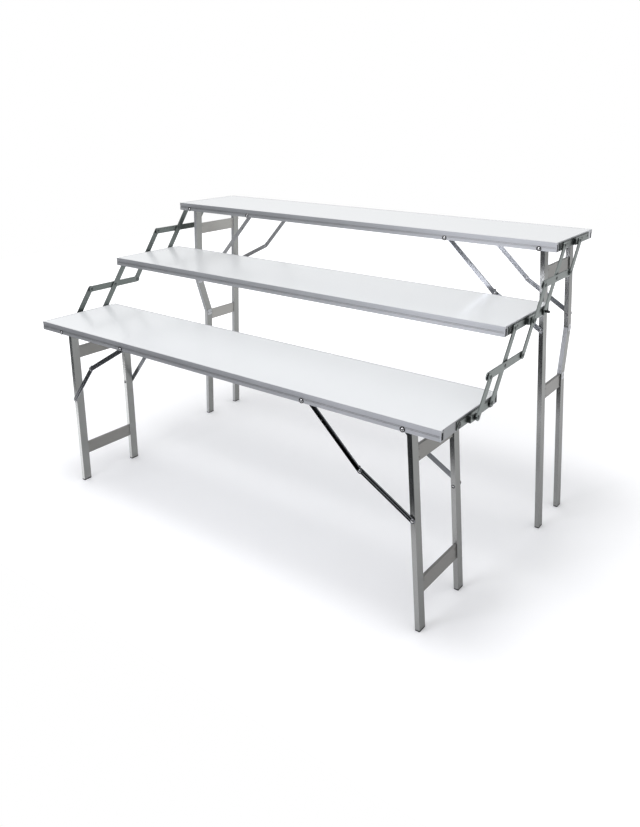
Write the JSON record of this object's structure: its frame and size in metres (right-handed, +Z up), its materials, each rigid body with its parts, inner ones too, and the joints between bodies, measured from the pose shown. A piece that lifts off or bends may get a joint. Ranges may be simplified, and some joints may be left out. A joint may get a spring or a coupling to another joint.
{
  "type": "tiered display table",
  "caption": "Folding stepped display table: long white shelves in aluminium rims on folding leg frames, joined at both ends by a swinging parallel-bar step linkage.",
  "frame": {"origin": "centre of the footprint at floor level: half way along the shelves, half way between the lower shelf's front edge and the top shelf's rear edge", "axes": "+X along the shelves towards the right end, +Y from the low front to the high rear, +Z up"},
  "size_m": [2.0544, 1.2714, 1.204],
  "materials": {
    "laminate": "smooth white laminate, slightly glossy",
    "rim_aluminium": "satin anodised extrusion",
    "leg_aluminium": "satin drawn tube",
    "rail_steel": "satin pressed sheet",
    "strut_steel": "dark bright-rolled flat bar",
    "zinc_steel": "zinc plated, grey-green",
    "pivot_steel": "dark plated rivets and screws",
    "bright_steel": "bright plated",
    "black_plastic": "moulded, matt",
    "black_nylon": "moulded nylon, satin"
  },
  "bodies": {
    "top_table": {"top_panel": "laminate", "top_long_rims": "rim_aluminium", "top_end_rims": "rim_aluminium", "top_rim_plugs": "black_plastic", "top_end_plates": "zinc_steel", "top_plate_rivets": "pivot_steel", "top_bar_spacers": "black_nylon", "top_hinge_bolts": "bright_steel"},
    "middle_shelf": {"middle_panel": "laminate", "middle_long_rims": "rim_aluminium", "middle_end_rims": "rim_aluminium", "middle_rim_plugs": "black_plastic", "middle_end_plates": "zinc_steel", "middle_plate_rivets": "pivot_steel", "middle_bar_spacers": "black_nylon", "middle_lock_knobs": "black_nylon"},
    "lower_table": {"lower_panel": "laminate", "lower_long_rims": "rim_aluminium", "lower_end_rims": "rim_aluminium", "lower_rim_plugs": "black_plastic", "lower_end_plates": "zinc_steel", "lower_plate_rivets": "pivot_steel", "lower_bar_spacers": "black_nylon", "lower_hinge_bolts": "bright_steel"},
    "lower_left_leg_frame": {"lower_left_legs": "leg_aluminium", "lower_left_cross_rails": "rail_steel", "lower_left_foot_caps": "black_plastic"},
    "lower_left_upper_arm": {"lower_left_upper_arms": "strut_steel"},
    "lower_left_lower_arm": {"lower_left_lower_arms": "strut_steel", "lower_left_strut_rivets": "bright_steel"},
    "lower_right_leg_frame": {"lower_right_legs": "leg_aluminium", "lower_right_cross_rails": "rail_steel", "lower_right_foot_caps": "black_plastic"},
    "lower_right_upper_arm": {"lower_right_upper_arms": "strut_steel"},
    "lower_right_lower_arm": {"lower_right_lower_arms": "strut_steel", "lower_right_strut_rivets": "bright_steel"},
    "top_left_leg_frame": {"top_left_legs": "leg_aluminium", "top_left_cross_rails": "rail_steel", "top_left_foot_caps": "black_plastic"},
    "top_left_upper_arm": {"top_left_upper_arms": "strut_steel"},
    "top_left_lower_arm": {"top_left_lower_arms": "strut_steel", "top_left_strut_rivets": "bright_steel"},
    "top_right_leg_frame": {"top_right_legs": "leg_aluminium", "top_right_cross_rails": "rail_steel", "top_right_foot_caps": "black_plastic"},
    "top_right_upper_arm": {"top_right_upper_arms": "strut_steel"},
    "top_right_lower_arm": {"top_right_lower_arms": "strut_steel", "top_right_strut_rivets": "bright_steel"},
    "upper_step_bars": {"upper_step_long_bars": "zinc_steel"},
    "upper_step_coupler": {"upper_step_couplers": "zinc_steel", "upper_step_coupler_rivets": "pivot_steel", "upper_step_coupler_spacers": "black_nylon"},
    "upper_step_rear_link": {"upper_step_rear_links": "zinc_steel"},
    "upper_step_front_link": {"upper_step_front_links": "zinc_steel"},
    "lower_step_bars": {"lower_step_long_bars": "zinc_steel"},
    "lower_step_coupler": {"lower_step_couplers": "zinc_steel", "lower_step_coupler_rivets": "pivot_steel", "lower_step_coupler_spacers": "black_nylon"},
    "lower_step_rear_link": {"lower_step_rear_links": "zinc_steel"},
    "lower_step_front_link": {"lower_step_front_links": "zinc_steel"}
  },
  "joints": [
    {"name": "upper_step_swing", "type": "hinge", "parent": "top_table", "child": "upper_step_bars", "pos_m": [0, 0.29766, 1.186], "axis": [-1, 0, 0], "range_deg": [0, 40]},
    {"name": "upper_step_coupler_pivot", "type": "hinge", "parent": "upper_step_bars", "child": "upper_step_coupler", "pos_m": [0, 0.21908, 1.075], "axis": [-1, 0, 0], "range_deg": [-40, 0]},
    {"name": "upper_step_rear_link_pivot", "type": "hinge", "parent": "top_table", "child": "upper_step_rear_link", "pos_m": [0, 0.43666, 1.186], "axis": [-1, 0, 0], "range_deg": [0, 40]},
    {"name": "upper_step_front_link_pivot", "type": "hinge", "parent": "upper_step_coupler", "child": "upper_step_front_link", "pos_m": [0, 0.08408, 1.075], "axis": [-1, 0, 0], "range_deg": [0, 40]},
    {"name": "middle_shelf_pivot", "type": "hinge", "parent": "upper_step_bars", "child": "middle_shelf", "pos_m": [0, 0.1405, 0.964], "axis": [-1, 0, 0], "range_deg": [-40, 0]},
    {"name": "lower_step_swing", "type": "hinge", "parent": "middle_shelf", "child": "lower_step_bars", "pos_m": [0, -0.1335, 0.964], "axis": [-1, 0, 0], "range_deg": [0, 40]},
    {"name": "lower_step_coupler_pivot", "type": "hinge", "parent": "lower_step_bars", "child": "lower_step_coupler", "pos_m": [0, -0.21208, 0.853], "axis": [-1, 0, 0], "range_deg": [-40, 0]},
    {"name": "lower_step_rear_link_pivot", "type": "hinge", "parent": "middle_shelf", "child": "lower_step_rear_link", "pos_m": [0, 0.0055, 0.964], "axis": [-1, 0, 0], "range_deg": [0, 40]},
    {"name": "lower_step_front_link_pivot", "type": "hinge", "parent": "lower_step_coupler", "child": "lower_step_front_link", "pos_m": [0, -0.34708, 0.853], "axis": [-1, 0, 0], "range_deg": [0, 40]},
    {"name": "lower_table_pivot", "type": "hinge", "parent": "lower_step_bars", "child": "lower_table", "pos_m": [0, -0.29066, 0.742], "axis": [-1, 0, 0], "range_deg": [-40, 0]},
    {"name": "lower_left_leg_fold", "type": "hinge", "parent": "lower_table", "child": "lower_left_leg_frame", "pos_m": [-0.867, -0.43116, 0.7316], "axis": [0, -1, 0], "range_deg": [0, 89.7]},
    {"name": "lower_left_upper_arm_pivot", "type": "hinge", "parent": "lower_table", "child": "lower_left_upper_arm", "pos_m": [-0.471, -0.43116, 0.7316], "axis": [0, -1, 0], "range_deg": [-30.66, 0]},
    {"name": "lower_left_elbow", "type": "hinge", "parent": "lower_left_upper_arm", "child": "lower_left_lower_arm", "pos_m": [-0.72459, -0.43116, 0.58124], "axis": [0, -1, 0], "range_deg": [0, 159.2]},
    {"name": "lower_right_leg_fold", "type": "hinge", "parent": "lower_table", "child": "lower_right_leg_frame", "pos_m": [0.867, -0.43116, 0.7316], "axis": [0, 1, 0], "range_deg": [0, 94.6]},
    {"name": "lower_right_upper_arm_pivot", "type": "hinge", "parent": "lower_table", "child": "lower_right_upper_arm", "pos_m": [0.471, -0.43116, 0.7316], "axis": [0, 1, 0], "range_deg": [-43.33, 0]},
    {"name": "lower_right_elbow", "type": "hinge", "parent": "lower_right_upper_arm", "child": "lower_right_lower_arm", "pos_m": [0.69132, -0.43116, 0.52374], "axis": [0, 1, 0], "range_deg": [0, 193.01]},
    {"name": "top_left_leg_fold", "type": "hinge", "parent": "top_table", "child": "top_left_leg_frame", "pos_m": [-0.932, 0.43116, 1.1756], "axis": [0, -1, 0], "range_deg": [0, 91.8]},
    {"name": "top_left_upper_arm_pivot", "type": "hinge", "parent": "top_table", "child": "top_left_upper_arm", "pos_m": [-0.536, 0.43116, 1.1756], "axis": [0, -1, 0], "range_deg": [-48.08, 0]},
    {"name": "top_left_elbow", "type": "hinge", "parent": "top_left_upper_arm", "child": "top_left_lower_arm", "pos_m": [-0.73625, 0.43116, 0.95261], "axis": [0, -1, 0], "range_deg": [0, 201.32]},
    {"name": "top_right_leg_fold", "type": "hinge", "parent": "top_table", "child": "top_right_leg_frame", "pos_m": [0.932, 0.43116, 1.1756], "axis": [0, 1, 0], "range_deg": [0, 93.4]},
    {"name": "top_right_upper_arm_pivot", "type": "hinge", "parent": "top_table", "child": "top_right_upper_arm", "pos_m": [0.536, 0.43116, 1.1756], "axis": [0, 1, 0], "range_deg": [-43.23, 0]},
    {"name": "top_right_elbow", "type": "hinge", "parent": "top_right_upper_arm", "child": "top_right_lower_arm", "pos_m": [0.75458, 0.43116, 0.97012], "axis": [0, 1, 0], "range_deg": [0, 191.66]}
  ],
  "couplings": [
    {"joint": "upper_step_coupler_pivot", "follows": "upper_step_swing", "ratio": -1},
    {"joint": "upper_step_rear_link_pivot", "follows": "upper_step_swing", "ratio": 1},
    {"joint": "upper_step_front_link_pivot", "follows": "upper_step_swing", "ratio": 1},
    {"joint": "middle_shelf_pivot", "follows": "upper_step_swing", "ratio": -1},
    {"joint": "lower_step_coupler_pivot", "follows": "lower_step_swing", "ratio": -1},
    {"joint": "lower_step_rear_link_pivot", "follows": "lower_step_swing", "ratio": 1},
    {"joint": "lower_step_front_link_pivot", "follows": "lower_step_swing", "ratio": 1},
    {"joint": "lower_table_pivot", "follows": "lower_step_swing", "ratio": -1},
    {"joint": "lower_left_upper_arm_pivot", "follows": "lower_left_leg_fold", "ratio": -0.34186},
    {"joint": "lower_left_elbow", "follows": "lower_left_leg_fold", "ratio": 1.7748},
    {"joint": "lower_right_upper_arm_pivot", "follows": "lower_right_leg_fold", "ratio": -0.45807},
    {"joint": "lower_right_elbow", "follows": "lower_right_leg_fold", "ratio": 2.0403},
    {"joint": "top_left_upper_arm_pivot", "follows": "top_left_leg_fold", "ratio": -0.52369},
    {"joint": "top_left_elbow", "follows": "top_left_leg_fold", "ratio": 2.1931},
    {"joint": "top_right_upper_arm_pivot", "follows": "top_right_leg_fold", "ratio": -0.46286},
    {"joint": "top_right_elbow", "follows": "top_right_leg_fold", "ratio": 2.052}
  ]
}
